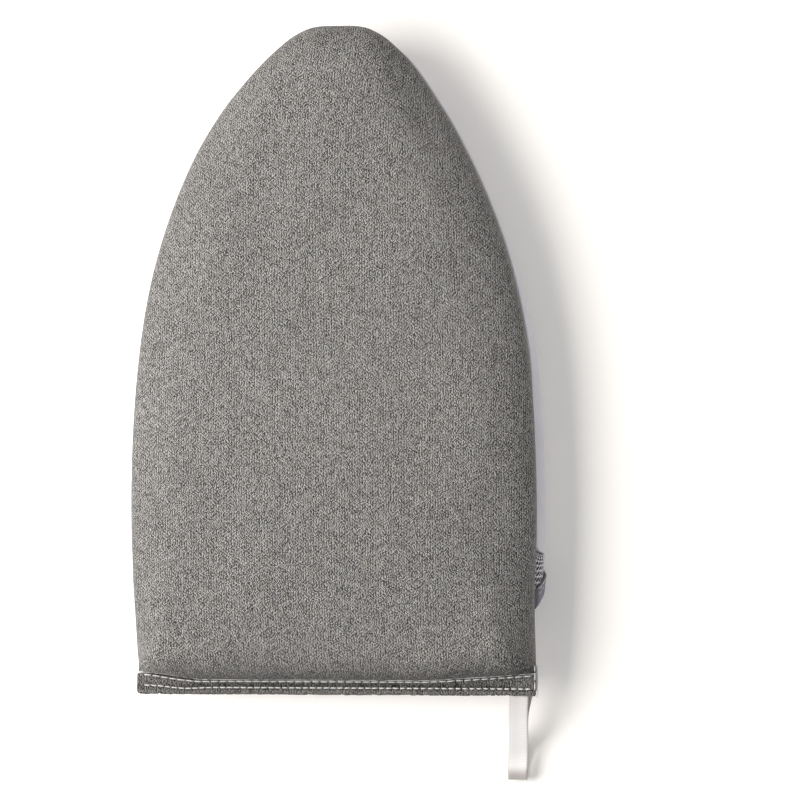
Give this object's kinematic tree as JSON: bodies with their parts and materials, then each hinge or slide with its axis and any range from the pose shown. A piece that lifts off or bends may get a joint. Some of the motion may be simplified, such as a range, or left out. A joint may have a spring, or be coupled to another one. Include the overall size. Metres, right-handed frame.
{
  "type": "ironing glove",
  "caption": "Padded ironing glove: rounded grey woven front, white hand pocket open at the hem with mesh vents beside its mouth, and a ribbon hanging loop.",
  "frame": {"origin": "on the table, under the middle of the whole length of glove and loop and in the middle of its width", "axes": "+Y towards the rounded tip, +Z out of the padded front, so the glove lies on the pocket side; +X to the side that has the hanging loop"},
  "size_m": [0.157, 0.2827, 0.04],
  "materials": {
    "grey_heather_cloth": "warm grey heather plain weave, matt, with pale and dark fibres mixed in columns",
    "metallised_film": "thin cloth with a metallised face that sends heat back",
    "felt": "needled wool-mix felt",
    "sponge": "open-cell polyurethane sponge",
    "white_knit": "white brushed polyester knit, matt, a little cool",
    "white_lining": "white thin polyester lining, matt",
    "white_mesh": "white knitted mesh with small round holes in staggered rows",
    "white_binding": "white folded knit tape, matt",
    "elastic": "white braided elastic",
    "satin_ribbon": "off-white satin ribbon with fine cross ribs and a soft sheen"
  },
  "bodies": {
    "glove": {"front_cover": "grey_heather_cloth", "heat_barrier": "metallised_film", "felt_layer": "felt", "foam_pad": "sponge", "back_panel": "white_knit", "bottom_hem": "grey_heather_cloth", "back_hem": "white_knit", "hand_pocket": "white_knit", "pocket_lining": "white_lining", "mesh_vent_left": "white_mesh", "mesh_vent_right": "white_mesh", "mouth_binding": "white_binding", "mouth_elastic": "elastic"},
    "loop": {"hanging_loop": "satin_ribbon"}
  },
  "joints": [
    {"name": "loop_swing", "type": "hinge", "parent": "glove", "child": "loop", "pos_m": [0.06907, -0.1102, 0.01915], "axis": [-1, 0, 0], "range_deg": [0, 90]}
  ]
}
